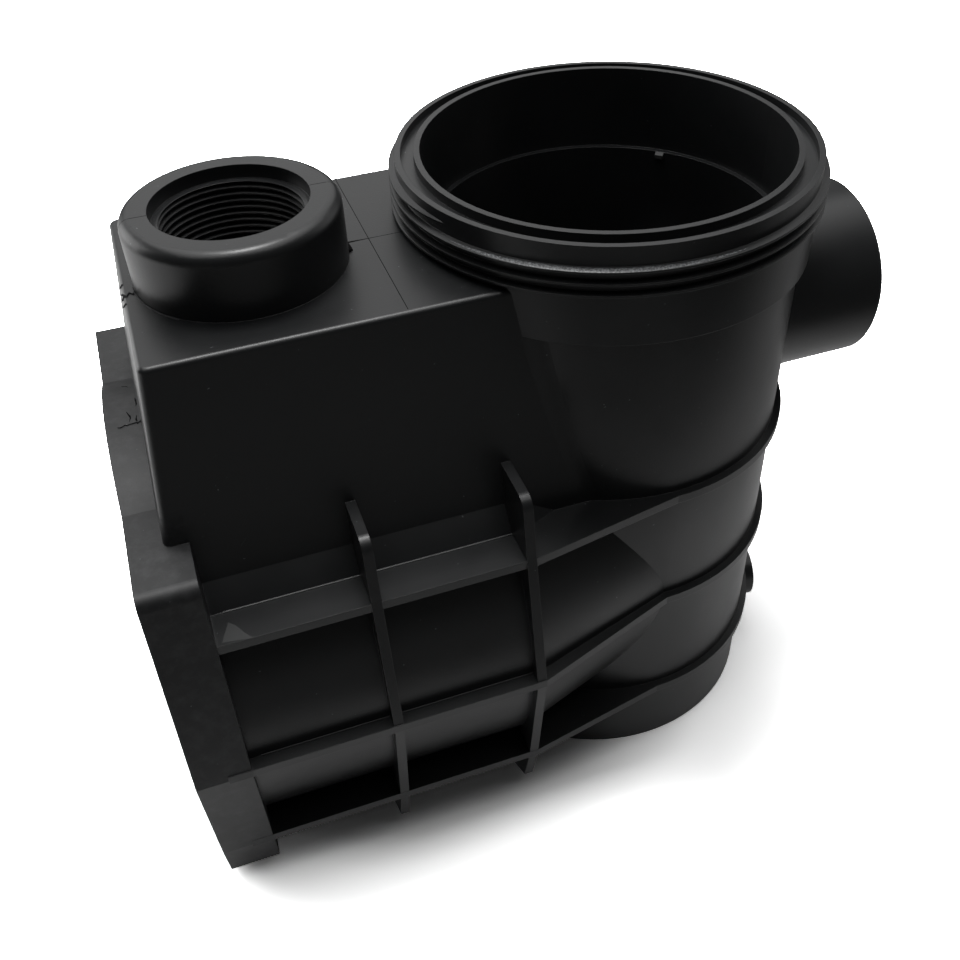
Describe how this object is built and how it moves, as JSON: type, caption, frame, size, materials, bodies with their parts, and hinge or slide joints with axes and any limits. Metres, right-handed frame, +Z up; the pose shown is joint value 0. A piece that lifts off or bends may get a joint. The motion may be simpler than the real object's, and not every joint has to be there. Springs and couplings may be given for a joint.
{
  "type": "pump housing",
  "caption": "Moulded pump housing: round strainer pot with a threaded neck and side spigot, box with a threaded port, ribbed round chamber and motor flange.",
  "frame": {"origin": "centre of the strainer pot's flat base, on the level that the housing stands on", "axes": "+Z up along the pot's axis, +X along the suction spigot away from the motor flange"},
  "size_m": [0.283, 0.184, 0.2456],
  "materials": {
    "moulded_plastic": "satin"
  },
  "bodies": {
    "root": {"pump_housing": "moulded_plastic"}
  },
  "joints": []
}
